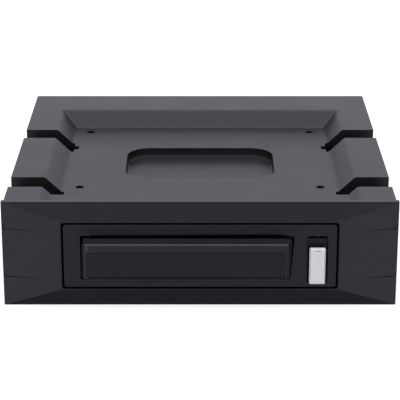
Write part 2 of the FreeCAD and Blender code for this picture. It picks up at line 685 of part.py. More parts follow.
def runner(label, side):
    """Guide channel for the tray floor, with a foot that is screwed to the base."""
    body = new_body(label)
    low, high = "tray_z - run", "tray_top + run"
    profile = [
        ("runner_x", "base_t"), ("foot_x", "base_t"), ("foot_x", "foot_top"), ("web_x", "foot_top"),
        ("web_x", f"{high} + lip_h"), ("lip_x", f"{high} + lip_h"), ("lip_x", high), ("runner_x", high),
        ("runner_x", low), ("lip_x", low), ("lip_x", f"{low} - lip_h"), ("runner_x", f"{low} - lip_h"),
    ]
    outline = new_sketch(body, "XZ_Plane", "profile", "-(runner_y)")
    polygon(outline, [(f"{side} * ({x})", z) for x, z in profile])
    extrude(body, "Pad", "channel", outline, "runner_end - runner_y", True)
    for x, y in runner_screw_spots(side):
        bore(body, "foot_core", "z", "tapped_r", x, y, ("base_t", "foot_top"))
    return body


def rear_panel():
    body = new_body("rear_panel")
    width, top = "in_x - seat_gap", "roof_z - seat_gap"
    add_box(body, "plate", (f"-({width})", width), ("rear_y", "house_l"), ("base_t", top))
    for name, low, wide in (("data_port", "data_x", "data_w"), ("power_port", "power_x", "power_w")):
        cut_box(body, name, (f"{low} - seat_gap", f"{low} + {wide} + seat_gap"), ("rear_y", "house_l"),
                ("plug_z - seat_gap", "plug_z + plug_h + seat_gap"))
    for side in SIDES:
        bore(body, "screw_hole", "y", "screw_r + fit", f"{side} * (in_x - lug_w / 2)",
             ("rear_y", "house_l"), "roof_z - lug_h / 2")
    vent = cut_box(body, "vent", ("-vent_step * 5 - vent_w / 2", "-vent_step * 5 + vent_w / 2"),
                   ("rear_y", "house_l"), ("house_h / 2 + wall * 2", "house_h / 2 + wall * 2 + rear_vent_l"))
    row_of(body, "vents", vent, "X_Axis", "vent_step", 11)
    return body


def backplane():
    board = new_body("backplane_board")
    add_box(board, "board", ("-board_x", "board_x"), ("board_y", "board_back"),
            ("board_z", "board_z + board_h"))
    for x, z in board_screw_spots():
        bore(board, "screw_hole", "y", "screw_r + fit", x, ("board_y", "board_back"), z)
    chip = new_body("controller_chip")
    add_box(chip, "package", ("socket_w / 2 + chip_x", "socket_w / 2 + chip_x + chip_w"),
            ("board_back", "board_back + chip_t"), ("board_z + chip_z", "board_z + chip_z + chip_w"))
    cans = doc.addObject("Part::Compound", "capacitors")
    cans.Label = "capacitors"
    cans.Links = [capacitor(f"capacitor_{n}", f"-board_x + can_x + can_step * {n}") for n in range(2)]
    return [board, chip, cans]


def capacitor(name, x):
    can = doc.addObject("Part::Cylinder", name)
    can.Placement = Placement(Vector(), TURNS["y"])
    bind(can, "Radius", "plug_h / 2")
    bind(can, "Height", "plug_deep")
    place(can, x=x, y="board_back", z="board_z + board_h * 2 / 3")
    return can


def board_screw_spots():
    return [(f"{side} * (post_x + post_w / 2)", f"board_z + board_h * {part} / 4")
            for side in SIDES for part in (1, 3)]


def drive_connector():
    """Receptacle with one slot for the data tongue and one for the power tongue."""
    body = new_body("drive_connector")
    add_box(body, "housing", ("-socket_w / 2", "socket_w / 2"), ("board_y - socket_l", "board_y"),
            ("socket_z", "socket_z + socket_h"))
    middle = "socket_z + socket_h / 2"
    depth = ("board_y - socket_l", "board_y - plug_wall * 2")
    for name, low, high in (("power_slot", "-socket_w / 2 + socket_end", "socket_w / 10"),
                            ("data_slot", "socket_w / 10 + socket_rib", "socket_w / 2 - socket_end")):
        cut_box(body, name, (low, high), depth, (f"{middle} - tongue_t / 2", f"{middle} + tongue_t / 2"))
        cut_box(body, name + "_key", (f"{high} - tongue_t", high), depth,
                (middle, f"{middle} + tongue_t * 1.5"))
    return body


def plug(label, low, wide):
    """Plug with an open mouth to the back and a keyed tongue inside."""
    body = new_body(label)
    add_box(body, "housing", (low, f"{low} + {wide}"), ("board_back", "house_l"),
            ("plug_z", "plug_z + plug_h"))
    cut_box(body, "mouth", (f"{low} + plug_wall", f"{low} + {wide} - plug_wall"),
            ("house_l - plug_deep", "house_l"), ("plug_z + plug_wall", "plug_z + plug_h - plug_wall"))
    add_box(body, "tongue", (f"{low} + plug_wall * 2.5", f"{low} + {wide} - plug_wall * 2.5"),
            ("house_l - plug_deep", "house_l - plug_wall"),
            ("plug_z + plug_h / 2 - tongue_t / 2", "plug_z + plug_h / 2 + tongue_t / 2"))
    add_box(body, "key", (f"{low} + plug_wall * 2.5", f"{low} + plug_wall * 2.5 + tongue_t"),
            ("house_l - plug_deep", "house_l - plug_wall"),
            ("plug_z + plug_h / 2", "plug_z + plug_h / 2 + tongue_t * 1.3"))
    return body


def caddy_front():
    body = new_body("caddy_front")
    frame = new_sketch(body, "XZ_Plane", "front_outline", "-(panel_y)")
    rounded(frame, ("-panel_x", "panel_x"), ("panel_z", "panel_top"), "open_r - panel_gap / 4")
    extrude(body, "Pad", "front", frame, "panel_l", True)
    cut_box(body, "back_hollow", ("-panel_x + wall", "cell_x - wall"), ("well_y + wall", "back_y"),
            ("panel_z + wall", "panel_top - wall"))
    well = new_sketch(body, "XZ_Plane", "well_outline", "-(panel_y)")
    polygon(well, [("axis_x", "well_low"), ("well_end", "well_low"), ("handle_end + finger_end", "well_top"),
                   ("axis_x", "well_top")])
    extrude(body, "Pocket", "handle_well", well, "well_y - (panel_y)", False)
    along_edges(body, "Fillet", "well_corner", "Radius", "well_r",
                lambda edge: edge_at(edge, x="handle_end + finger_end", z="well_top"))
    bore(body, "knuckle_well", "z", "knuckle_r + run", "axis_x", "axis_y", ("well_low", "well_top"))
    bore(body, "pin_seat", "z", "pin_r + fit", "axis_x", "axis_y",
         ("well_low - pin_seat", "well_top + pin_seat"))
    slot = new_sketch(body, "XZ_Plane", "slot_outline", "-(panel_y)")
    rounded(slot, ("latch_x - slot_w / 2", "latch_x + slot_w / 2"), ("slot_z", "slot_top"), "slot_r")
    extrude(body, "Pocket", "latch_slot", slot, "wall + run", False)
    cut_box(body, "latch_cell", ("cell_x", "cell_end"), ("panel_y + wall", "back_y"),
            ("cell_low", "cell_top"))
    cut_box(body, "keep_seat", ("cell_x - keep_lap", "panel_x - wall / 2"), ("keep_y", "back_y"),
            ("cell_low", "cell_top"))
    cut_box(body, "leaf_window", ("handle_end", "cell_x + run"), ("leaf_y - run", "leaf_y + leaf_t + run"),
            ("leaf_z - run", "leaf_z + leaf_h + latch_run + run"))
    for x, z in front_screw_spots():
        add_rod(body, "boss", "y", "boss_r", x, ("well_y", "back_y"), z)
        bore(body, "boss_core", "y", "tapped_r", x, ("well_y + wall", "back_y"), z)
    return body


def front_screw_spots():
    return [(f"{side} * drive_w / 3", "(panel_z + panel_top) / 2") for side in SIDES]


def latch_retainer():
    """Plate that closes the latch cell from behind."""
    body = new_body("latch_retainer")
    low, high = "cell_low + fit", "cell_top - fit"
    add_box(body, "plate", ("cell_x - keep_lap + fit", "panel_x - wall / 2 - fit"),
            ("keep_y", "keep_y + keep_t"), (low, high))
    for limits in ((low, f"{low} + wall"), (f"{high} - wall", high)):
        add_box(body, "pad", ("cell_x", "flange_x"), ("keep_y", "back_y"), limits)
    return body


def caddy_tray():
    body = new_body("caddy_tray")
    add_box(body, "floor", ("-tray_x", "tray_x"), ("back_y", "tray_end"), ("tray_z", "tray_top"))
    add_box(body, "flange", ("-flange_x", "flange_x"), ("back_y", "back_y + flange_t"),
            ("tray_z", "panel_top - wall"))
    for side in SIDES:
        add_box(body, "wall", sided(side, ("drive_x", "drive_x + tray_t")), ("back_y", "tray_end"),
                ("tray_z", "tray_top + tray_wall_h"))
        for n in range(3):
            add_box(body, "rib", sided(side, ("drive_x + tray_t", "lip_x - run")),
                    (f"back_y + tray_l * {2 * n + 1} / 6", f"back_y + tray_l * {2 * n + 1} / 6 + wall"),
                    ("tray_top", "tray_top + tray_wall_h / 2"))
    for x, z in front_screw_spots():
        bore(body, "screw_hole", "y", "screw_r + fit", x, ("back_y", "back_y + flange_t"), z)
    for side in SIDES:
        for y in ("drive_end - drive_hole_end", "drive_end - drive_hole_end - drive_hole_dy"):
            bore(body, "drive_hole", "z", "drive_hole_r", f"{side} * drive_hole_dx / 2", y,
                 ("tray_z", "tray_top"))
    vent = cut_box(body, "vent", ("-vent_l", "vent_l"),
                   ("back_y + tray_l / 5", "back_y + tray_l / 5 + vent_w * 2"), ("tray_z", "tray_top"))
    row_of(body, "vents", vent, "Y_Axis", "vent_step * 2", 5)
    return body


def handle():
    body = new_body("handle")
    add_box(body, "bar", ("axis_x", "handle_end"), ("handle_y", "handle_back"), ("handle_z", "handle_top"))
    add_rod(body, "knuckle", "z", "knuckle_r", "axis_x", "axis_y", ("handle_z", "handle_top"))
    along_edges(body, "Chamfer", "end_edge", "Size", "handle_end_edge",
                lambda edge: edge_at(edge, y="handle_y", x="handle_end"))
    for z in ("handle_top", "handle_z"):
        along_edges(body, "Chamfer", "long_edge", "Size", "handle_edge",
                    lambda edge, z=z: edge_at(edge, y="handle_y", z=z))
    cut_box(body, "back_hollow", ("axis_x + knuckle_r + handle_wall", "handle_end - handle_wall - leaf_bite"),
            ("handle_y + handle_wall", "handle_back"), ("handle_z + handle_wall", "handle_top - handle_wall"))
    for part in (1, 2):
        middle = f"handle_x + handle_l * {part} / 3"
        add_box(body, "rib", (f"{middle} - wall / 2", f"{middle} + wall / 2"),
                ("handle_y + handle_wall", "handle_back - wall"), ("handle_z", "handle_top - handle_wall"))
    bore(body, "pin_bore", "z", "pin_r + fit", "axis_x", "axis_y", ("handle_z", "handle_top"))
    seat = new_sketch(body, "XZ_Plane", "inlay_seat_outline", "-(handle_y)")
    across, up = inlay_limits("0")
    rounded(seat, across, up, "inlay_r")
    extrude(body, "Pocket", "inlay_seat", seat, "inlay_set + inlay_t", False)
    cut_box(body, "catch_slot", ("leaf_x - run", "handle_end"), ("leaf_y - run", "leaf_y + leaf_t + run"),
            ("leaf_z - run", "leaf_z + leaf_h + latch_run + run"))
    cut_box(body, "catch_release", ("leaf_x - run", "handle_end"), ("leaf_y - run", "handle_back"),
            ("leaf_z + leaf_h + run", "leaf_z + leaf_h + latch_run + run"))
    return body


def inlay_limits(gap):
    across = (f"handle_x + inlay_x + {gap}", f"handle_end - inlay_out - {gap}")
    up = (f"handle_z + inlay_z + {gap}", f"inlay_high - {gap}")
    return across, up


def handle_inlay():
    body = new_body("handle_inlay")
    across, up = inlay_limits("inlay_gap")
    outline = new_sketch(body, "XZ_Plane", "inlay_outline", "-(handle_y + inlay_set)")
    rounded(outline, across, up, "inlay_r - inlay_gap")
    extrude(body, "Pad", "inlay", outline, "inlay_t", True)
    return body


def handle_pin():
    body = new_body("handle_pin")
    add_rod(body, "pin", "z", "pin_r", "axis_x", "axis_y",
            ("well_low - pin_seat + fit", "well_top + pin_seat - fit"))
    return body


def latch():
    slider = new_body("latch_slider")
    add_box(slider, "plate", ("slide_x", "slide_x + slide_w"), ("slide_y", "slide_back"),
            ("slide_z", "slide_top"))
    add_box(slider, "ledge", ("latch_x - ledge_w / 2", "latch_x + ledge_w / 2"), ("slide_back", "ledge_back"),
            ("slide_z", "ledge_z"))
    add_box(slider, "stem", ("latch_x - cap_w / 2 + stem_in", "latch_x + cap_w / 2 - stem_in"),
            ("cap_back", "slide_y"), ("cap_z + stem_in", "cap_top - stem_in"))
    cut_box(slider, "leaf_seat", ("slide_x", "slide_x + slide_w / 3"),
            ("leaf_y - fit", "leaf_y + leaf_t + fit"), ("leaf_z - fit", "leaf_z + leaf_h + fit"))
    cap = new_body("latch_cap")
    outline = new_sketch(cap, "XZ_Plane", "cap_outline", "-(cap_back)")
    rounded(outline, ("latch_x - cap_w / 2", "latch_x + cap_w / 2"), ("cap_z", "cap_top"), "cap_edge")
    extrude(cap, "Pad", "cap", outline, "cap_t", False)
    along_edges(cap, "Chamfer", "rim", "Size", "cap_edge * 0.9", lambda edge: edge_at(edge, y="cap_y"))
    cut_box(cap, "nick", ("latch_x - nick_w / 2", "latch_x + nick_w / 2"), ("cap_y", "cap_y + nick_d"),
            ("cap_top - cap_edge - nick_h", "cap_top - cap_edge"))
    leaf = new_body("catch_leaf")
    add_box(leaf, "leaf", ("leaf_x", "slide_x + slide_w / 3 - fit"), ("leaf_y", "leaf_y + leaf_t"),
            ("leaf_z", "leaf_z + leaf_h"))
    return [slider, cap, leaf]


def latch_spring():
    """Coil spring between the slider's ledge and the top of the latch cell."""
    path = doc.addObject("Part::Helix", "latch_spring_path")
    bind(path, "Height", "cell_top - (ledge_z) - 2 * wire_r - 2 * fit")
    bind(path, "Pitch", "(cell_top - (ledge_z) - 2 * wire_r - 2 * fit) / coil_turns")
    bind(path, "Radius", "coil_r")
    wire = doc.addObject("Part::RegularPolygon", "latch_spring_wire")
    wire.Polygon = 6
    bind(wire, "Circumradius", "wire_r")
    wire.Placement = Placement(Vector(), Rotation(Vector(1, 0, 0), 90))
    place(wire, x="coil_r")
    coil = doc.addObject("Part::Sweep", "latch_spring")
    coil.Label = "latch_spring"
    coil.Sections = [wire]
    coil.Spine = (path, [])
    coil.Solid = True
    coil.Frenet = True
    place(coil, x="latch_x", y="coil_y", z="ledge_z + wire_r + fit")
    return coil


pieces = [
    top_shell(),
    base(),
    bezel(),
    runner("right_runner", 1),
    runner("left_runner", -1),
    rear_panel(),
    drive_connector(),
    plug("data_plug", "data_x", "data_w"),
    plug("power_plug", "power_x", "power_w"),
    caddy_front(),
    caddy_tray(),
    latch_retainer(),
    handle(),
    handle_inlay(),
    handle_pin(),
    latch_spring(),
]
pieces += backplane()
pieces += latch()
rear_spots = [(f"{side} * (in_x - lug_w / 2)", "house_l", "roof_z - lug_h / 2") for side in SIDES]
pieces += [
    screws("base_screws", "z", 1, [(x, y, "0") for side in SIDES for x, y in base_screw_spots(side)],
           "base_t + screw_l", flat=True),
    screws("runner_screws", "z", 1, [(x, y, "0") for side in SIDES for x, y in runner_screw_spots(side)],
           "base_t + foot_t", flat=True),
    screws("board_screws", "y", -1, [(x, "board_back", z) for x, z in board_screw_spots()],
           "board_t + post_l - wall"),
    screws("rear_screws", "y", -1, rear_spots, "rear_t + lug_l - wall"),
    screws("front_screws", "y", -1, [(x, "back_y + flange_t", z) for x, z in front_screw_spots()],
           "back_y + flange_t - (well_y) - wall - fit"),
]

doc.recompute()
for item in doc.Objects:
    if "Invalid" in item.State or "Error" in item.State:
        raise RuntimeError(f"{item.Label} failed: {item.State}")
for piece in pieces:
    if piece.Shape.isNull() or not piece.Shape.isValid() or not piece.Shape.Solids:
        raise RuntimeError(f"{piece.Label} has no valid solid")
os.makedirs("parts", exist_ok=True)
for piece in pieces:
    piece.Shape.exportStep(os.path.join("parts", piece.Label + ".step"))
    bounds = piece.Shape.BoundBox
    print(f"{piece.Label}: {len(piece.Shape.Solids)} solids, {piece.Shape.Volume:.1f} mm3, "
          f"{bounds.XLength:.2f} x {bounds.YLength:.2f} x {bounds.ZLength:.2f}")
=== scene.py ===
import math

import bmesh
import bpy
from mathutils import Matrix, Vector


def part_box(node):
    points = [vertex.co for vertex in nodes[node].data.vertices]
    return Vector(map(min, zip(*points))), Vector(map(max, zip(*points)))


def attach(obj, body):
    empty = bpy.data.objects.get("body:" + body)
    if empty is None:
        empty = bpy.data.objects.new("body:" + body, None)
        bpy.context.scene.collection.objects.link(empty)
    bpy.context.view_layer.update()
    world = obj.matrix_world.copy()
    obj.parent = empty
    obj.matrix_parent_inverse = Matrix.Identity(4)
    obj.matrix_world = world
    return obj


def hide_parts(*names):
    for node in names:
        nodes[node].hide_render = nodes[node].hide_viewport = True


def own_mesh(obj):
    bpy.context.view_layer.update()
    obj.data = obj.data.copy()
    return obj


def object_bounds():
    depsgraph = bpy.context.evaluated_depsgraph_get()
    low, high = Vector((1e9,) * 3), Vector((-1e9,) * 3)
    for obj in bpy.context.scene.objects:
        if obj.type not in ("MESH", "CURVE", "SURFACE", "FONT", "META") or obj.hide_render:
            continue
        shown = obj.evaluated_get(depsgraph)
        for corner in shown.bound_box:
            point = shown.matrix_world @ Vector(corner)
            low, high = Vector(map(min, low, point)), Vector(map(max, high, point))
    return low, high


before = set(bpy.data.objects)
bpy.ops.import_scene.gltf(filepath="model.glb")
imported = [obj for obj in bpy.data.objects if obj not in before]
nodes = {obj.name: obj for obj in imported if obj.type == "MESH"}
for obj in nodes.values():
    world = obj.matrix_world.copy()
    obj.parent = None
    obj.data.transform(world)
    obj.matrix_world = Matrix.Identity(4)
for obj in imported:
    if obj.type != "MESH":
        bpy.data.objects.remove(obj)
cad_box = [list(corner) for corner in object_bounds()]
scene = bpy.context.scene

MERGE = 1e-7        # points closer than this are one point, metres
TOLERANCE = 1e-6    # slack when points are sorted by where they lie, metres

# Camera: a long lens in front of the bezel, looking down on the recessed top.
CAMERA_PITCH = math.radians(19.6)
CAMERA_PLACE = (0.0, -0.585, 0.2496)
CAMERA_LENS = 150.4
CAMERA_SENSOR = 36.0

camera_data = bpy.data.cameras.new("camera")
camera_data.lens = CAMERA_LENS
camera_data.sensor_width = CAMERA_SENSOR
camera = bpy.data.objects.new("camera", camera_data)
camera.location = CAMERA_PLACE
camera.rotation_euler = (math.pi / 2 - CAMERA_PITCH, 0.0, 0.0)
scene.collection.objects.link(camera)
scene.camera = camera
scene.view_settings.view_transform = "Standard"

# Studio: one soft box above and a surround. Each row of the surround says between which values of a direction's
# component (-1 to 1) the strength runs, and from what to what.
STUDIO_WHITE = (0.985, 0.97, 1.08)
TOP_BOX_PLACE = (0.0, 0.08, 1.1)
TOP_BOX_AIM = (0.0, 0.03, 0.0)
TOP_BOX_SIZE = (1.6, 1.2)
TOP_BOX_POWER = 11.5
SURROUND_RISE = (-0.75, -0.3, 0.115, 0.27)      # by height, all round
SURROUND_SIDES = (0.0, 0.35, 0.0, 0.96)         # by distance to the left or right, in front
SURROUND_FRONT = (-0.9, -0.2, 1.0, 0.0)         # share of the sides, by depth
SURROUND_BACK = (0.2, 0.9, 0.0, 1.0)            # share of the back, by depth
SURROUND_BACK_RISE = (-0.1, 0.35, 0.485, 0.76)  # by height, behind


def soft_box(name, place, aim, size, power):
    """Rectangular area light that points at a place."""
    data = bpy.data.lights.new(name, "AREA")
    data.shape = "RECTANGLE"
    data.size, data.size_y = size
    data.energy = power
    data.color = STUDIO_WHITE
    light = bpy.data.objects.new(name, data)
    light.location = place
    direction = [a - b for a, b in zip(aim, place)]
    pitch = math.atan2(math.hypot(direction[0], direction[1]), -direction[2])
    heading = math.atan2(direction[1], direction[0]) - math.pi / 2
    light.rotation_euler = (pitch, 0.0, heading)
    scene.collection.objects.link(light)


class Graph:
    """Node tree with helpers that add nodes and return their outputs."""

    def __init__(self, tree):
        self.tree = tree

    def link(self, source, socket):
        self.tree.links.new(source, socket)

    def axes(self, source):
        """X, Y and Z of a vector, by name."""
        node = self.tree.nodes.new("ShaderNodeSeparateXYZ")
        self.link(source, node.inputs["Vector"])
        return node.outputs

    def math(self, operation, first, second):
        """Result of an operation on two sockets or numbers."""
        node = self.tree.nodes.new("ShaderNodeMath")
        node.operation = operation
        for socket, source in zip(node.inputs, (first, second)):
            if isinstance(source, float):
                socket.default_value = source
            else:
                self.link(source, socket)
        return node.outputs["Value"]

    def span(self, source, low, high, first, last):
        """Value that runs from first to last while the source runs from low to high."""
        node = self.tree.nodes.new("ShaderNodeMapRange")
        for name, value in (("From Min", low), ("From Max", high), ("To Min", first), ("To Max", last)):
            node.inputs[name].default_value = value
        self.link(source, node.inputs["Value"])
        return node.outputs["Result"]


def studio_world():
    """Soft surround, dim low in front, brighter to the sides and behind the object."""
    world = bpy.data.worlds.new("studio")
    world.use_nodes = True
    graph = Graph(world.node_tree)
    coords = graph.tree.nodes.new("ShaderNodeTexCoord")
    axes = graph.axes(coords.outputs["Generated"])
    aside = graph.math("ABSOLUTE", axes["X"], 0.0)
    rise = graph.span(axes["Z"], *SURROUND_RISE)
    sides = graph.math("MULTIPLY", graph.span(aside, *SURROUND_SIDES), graph.span(axes["Y"], *SURROUND_FRONT))
    back = graph.math("MULTIPLY", graph.span(axes["Y"], *SURROUND_BACK), graph.span(axes["Z"], *SURROUND_BACK_RISE))
    strength = graph.math("ADD", graph.math("ADD", rise, sides), back)
    background = graph.tree.nodes["Background"]
    background.inputs["Color"].default_value = (*STUDIO_WHITE, 1.0)
    graph.link(strength, background.inputs["Strength"])
    return world


soft_box("top_box", TOP_BOX_PLACE, TOP_BOX_AIM, TOP_BOX_SIZE, TOP_BOX_POWER)
scene.world = studio_world()

NOISE_RANGE = (0.3, 0.7)        # values between which a noise mostly lies
PATCH_RANGE = (0.42, 0.62)      # noise values between which rubbed patches begin and are full
PATCH_LEAST = 0.15              # share of wear outside the patches
EDGE_RANGE = (0.98, 0.80)       # cosines between which a normal's lean counts as none and as a full edge


class Look(Graph):
    """Node material with a principled shader and procedural detail in object space."""

    def __init__(self, name, colour, rough, metal=0.0, specular=0.5):
        self.material = bpy.data.materials.new(name)
        self.material.use_nodes = True
        super().__init__(self.material.node_tree)
        self.inputs = self.tree.nodes["Principled BSDF"].inputs
        self.inputs["Base Color"].default_value = (*colour, 1.0)
        self.inputs["Roughness"].default_value = rough
        self.inputs["Metallic"].default_value = metal
        self.inputs["Specular IOR Level"].default_value = specular
        self.colour = colour
        self.rough = rough
        self.place = self.tree.nodes.new("ShaderNodeTexCoord").outputs["Object"]

    def noise(self, scale, detail, stretch=None):
        """Noise whose scale counts cells per metre."""
        node = self.tree.nodes.new("ShaderNodeTexNoise")
        node.inputs["Scale"].default_value = scale
        node.inputs["Detail"].default_value = detail
        source = self.place
        if stretch:
            mapping = self.tree.nodes.new("ShaderNodeMapping")
            mapping.inputs["Scale"].default_value = stretch
            self.link(source, mapping.inputs["Vector"])
            source = mapping.outputs["Vector"]
        self.link(source, node.inputs["Vector"])
        return node.outputs["Fac"]

    def tint(self, source, spread):
        """Colour that wanders about the base colour by a share of it."""
        node = self.tree.nodes.new("ShaderNodeValToRGB")
        for stop, place, share in zip(node.color_ramp.elements, NOISE_RANGE, (1.0 - spread, 1.0 + spread)):
            stop.position = place
            stop.color = (*(c * share for c in self.colour), 1.0)
        self.link(source, node.inputs["Fac"])
        self.link(node.outputs["Color"], self.inputs["Base Color"])

    def roughen(self, source, spread):
        """Roughness that wanders about its base value."""
        wandering = self.span(source, *NOISE_RANGE, self.rough - spread, self.rough + spread)
        self.link(wandering, self.inputs["Roughness"])

    def bump(self, source, height, strength):
        """Relief of a texture, height in metres."""
        node = self.tree.nodes.new("ShaderNodeBump")
        node.inputs["Distance"].default_value = height
        node.inputs["Strength"].default_value = strength
        self.link(source, node.inputs["Height"])
        self.link(node.outputs["Normal"], self.inputs["Normal"])

    def edge_mask(self, radius):
        """Share by which a rounded normal leans away from the flat one: high along edges."""
        rounded = self.tree.nodes.new("ShaderNodeBevel")
        rounded.samples = 4
        rounded.inputs["Radius"].default_value = radius
        flat = self.tree.nodes.new("ShaderNodeNewGeometry")
        dot = self.tree.nodes.new("ShaderNodeVectorMath")
        dot.operation = "DOT_PRODUCT"
        self.link(rounded.outputs["Normal"], dot.inputs[0])
        self.link(flat.outputs["True Normal"], dot.inputs[1])
        return self.span(dot.outputs["Value"], *EDGE_RANGE, 0.0, 1.0)

    def wear(self, radius, lift, polish):
        """Edges rubbed a little paler and smoother, in patches; comes after tint and roughen."""
        patches = self.span(self.noise(scale=350.0, detail=4.0), *PATCH_RANGE, PATCH_LEAST, 1.0)
        worn = self.math("MULTIPLY", self.edge_mask(radius), patches)
        colour = self.inputs["Base Color"]
        mix = self.tree.nodes.new("ShaderNodeMix")
        mix.data_type = "RGBA"
        share, first, second = (mix.inputs[n] for n in (0, 6, 7))
        self.link(worn, share)
        self.link(colour.links[0].from_socket, first)
        second.default_value = (*(c * lift for c in self.colour), 1.0)
        self.link(mix.outputs[2], colour)
        rough = self.inputs["Roughness"]
        self.link(self.math("SUBTRACT", rough.links[0].from_socket, self.math("MULTIPLY", worn, polish)), rough)

    def coarsen(self, low, high, fade, added):
        """Rougher grain inside a box of the part, growing along Y; comes after roughen."""
        axes = self.axes(self.place)
        share = self.span(axes["Y"], *fade, 0.0, added)
        for axis, least, most in zip("XYZ", low, high):
            for operation, limit in (("GREATER_THAN", least), ("LESS_THAN", most)):
                share = self.math("MULTIPLY", self.math(operation, axes[axis], limit), share)
        rough = self.inputs["Roughness"]
        self.link(self.math("ADD", rough.links[0].from_socket, share), rough)


def moulding(name, colour, rough, specular, grain, relief):
    """Moulded plastic with a fine eroded grain, slow drifts of tone and gloss, and rubbed edges."""
    look = Look(name, colour, rough, specular=specular)
    look.tint(look.noise(scale=28.0, detail=4.0), spread=0.06)
    look.roughen(look.noise(scale=60.0, detail=5.0), spread=0.018)
    look.wear(radius=0.0004, lift=2.5, polish=0.05)
    look.bump(look.noise(scale=grain, detail=2.0), height=relief, strength=0.35)
    return look


def metal(name, colour, rough):
    """Turned or stamped metal with a fine uneven polish."""
    look = Look(name, colour, rough, metal=1.0)
    look.tint(look.noise(scale=400.0, detail=3.0), spread=0.12)
    look.roughen(look.noise(scale=900.0, detail=4.0), spread=0.06)
    look.bump(look.noise(scale=3000.0, detail=2.0), height=0.00001, strength=0.2)
    return look


def silver_paint(name):
    """Silver lacquer with fine flakes."""
    look = Look(name, (0.69, 0.69, 0.67), 0.36, metal=0.35)
    look.tint(look.noise(scale=2400.0, detail=2.0), spread=0.03)
    look.roughen(look.noise(scale=120.0, detail=4.0), spread=0.05)
    look.bump(look.noise(scale=5200.0, detail=1.0), height=0.000006, strength=0.25)
    return look


def solder_mask(name):
    """Green lacquer of a circuit board, slightly wavy."""
    look = Look(name, (0.012, 0.085, 0.035), 0.32)
    look.tint(look.noise(scale=90.0, detail=5.0), spread=0.18)
    look.roughen(look.noise(scale=200.0, detail=4.0), spread=0.06)
    look.bump(look.noise(scale=700.0, detail=3.0, stretch=(1.0, 1.0, 0.15)), height=0.00002, strength=0.3)
    return look


# Colour, roughness, specular level, grain in cells per metre, and height of the grain in metres.
FRONT_BLACK = (0.0046, 0.0042, 0.0070)
MOULDINGS = {
    "housing_plastic": ((0.0070, 0.0067, 0.0079), 0.41, 0.42, 2600.0, 0.00002),
    "front_plastic": (FRONT_BLACK, 0.36, 0.42, 3200.0, 0.000012),
    "panel_plastic": (FRONT_BLACK, 0.36, 0.37, 3200.0, 0.000012),
    "handle_plastic": ((0.0052, 0.0047, 0.0085), 0.26, 0.53, 3200.0, 0.000008),
    "inlay_plastic": (FRONT_BLACK, 0.40, 0.31, 3600.0, 0.000012),
    "rim_plastic": ((0.0044, 0.0040, 0.0066), 0.42, 0.25, 3200.0, 0.000012),
    "inner_plastic": ((0.010, 0.010, 0.011), 0.55, 0.3, 2200.0, 0.00002),
    "connector_plastic": ((0.018, 0.018, 0.02), 0.42, 0.5, 4000.0, 0.000008),
}
# Colour and roughness.
METALS = {
    "screw_steel": ((0.16, 0.16, 0.17), 0.38),
    "pin_steel": ((0.012, 0.012, 0.013), 0.55),
    "leaf_steel": ((0.035, 0.035, 0.038), 0.45),
    "spring_steel": ((0.55, 0.55, 0.57), 0.28),
    "can_metal": ((0.72, 0.72, 0.74), 0.32),
    "contact_gold": ((0.83, 0.58, 0.22), 0.25),
}
# Box round the floor of the top pocket, where along Y its rougher foot begins and is full, and how much rougher.
POCKET_LOW = (-0.0302, 0.0428, 0.0310)
POCKET_HIGH = (0.0302, 0.0822, 0.0330)
POCKET_FADE = (0.074, 0.080)
POCKET_ROUGH = 0.25

looks = {name: moulding(name, *values) for name, values in MOULDINGS.items()}
looks.update((name, metal(name, *values)) for name, values in METALS.items())
looks["silver_paint"] = silver_paint("silver_paint")
looks["solder_mask"] = solder_mask("solder_mask")
looks["housing_plastic"].coarsen(POCKET_LOW, POCKET_HIGH, POCKET_FADE, POCKET_ROUGH)

NODE_LOOKS = {
    "top_shell": "housing_plastic", "base": "housing_plastic", "rear_panel": "housing_plastic",
    "bezel": "front_plastic", "caddy_front": "panel_plastic",
    "handle": "handle_plastic", "handle_inlay": "inlay_plastic",
    "left_runner": "inner_plastic", "right_runner": "inner_plastic", "caddy_tray": "inner_plastic",
    "latch_retainer": "inner_plastic", "latch_slider": "inner_plastic",
    "drive_connector": "connector_plastic", "data_plug": "connector_plastic", "power_plug": "connector_plastic",
    "controller_chip": "connector_plastic", "capacitors": "can_metal", "backplane_board": "solder_mask",
    "base_screws": "screw_steel", "runner_screws": "screw_steel", "board_screws": "screw_steel",
    "rear_screws": "screw_steel", "front_screws": "screw_steel",
    "handle_pin": "pin_steel", "latch_spring": "spring_steel", "catch_leaf": "leaf_steel",
    "latch_cap": "silver_paint",
}
# Widths of the rounds along the edges, in metres.
EDGE_ROUNDS = {
    "top_shell": 0.00035, "base": 0.0003, "rear_panel": 0.0003, "bezel": 0.0003,
    "handle": 0.0002, "handle_inlay": 0.0001, "latch_cap": 0.00015, "caddy_tray": 0.0002,
}
PANEL_ROUND = 0.00025
RIM_ROUND = 0.0001
FLUSH_HEAD_ROUND = 0.00012
RAISED_HEAD_ROUND = 0.0005
FLAT_ANGLE = math.radians(1.0)


def flatten(item):
    """Join the triangles of each flat face."""
    flat = item.modifiers.new("flat_faces", "DECIMATE")
    flat.decimate_type = "DISSOLVE"
    flat.angle_limit = FLAT_ANGLE


def round_edges(item, width, segments, angle):
    """Round the edges that turn by more than an angle in degrees."""
    edge = item.modifiers.new("soft_edges", "BEVEL")
    edge.width = width
    edge.segments = segments
    edge.limit_method = "ANGLE"
    edge.angle_limit = math.radians(angle)
    return edge


def soften(item, width):
    """Narrow rounds along the edges of a piece, with its flat faces left flat."""
    flatten(item)
    round_edges(item, width, segments=2, angle=32.0).harden_normals = True


for name, item in nodes.items():
    item.data.materials.clear()
    item.data.materials.append(looks[NODE_LOOKS[name]].material)
    if name in EDGE_ROUNDS:
        soften(item, EDGE_ROUNDS[name])


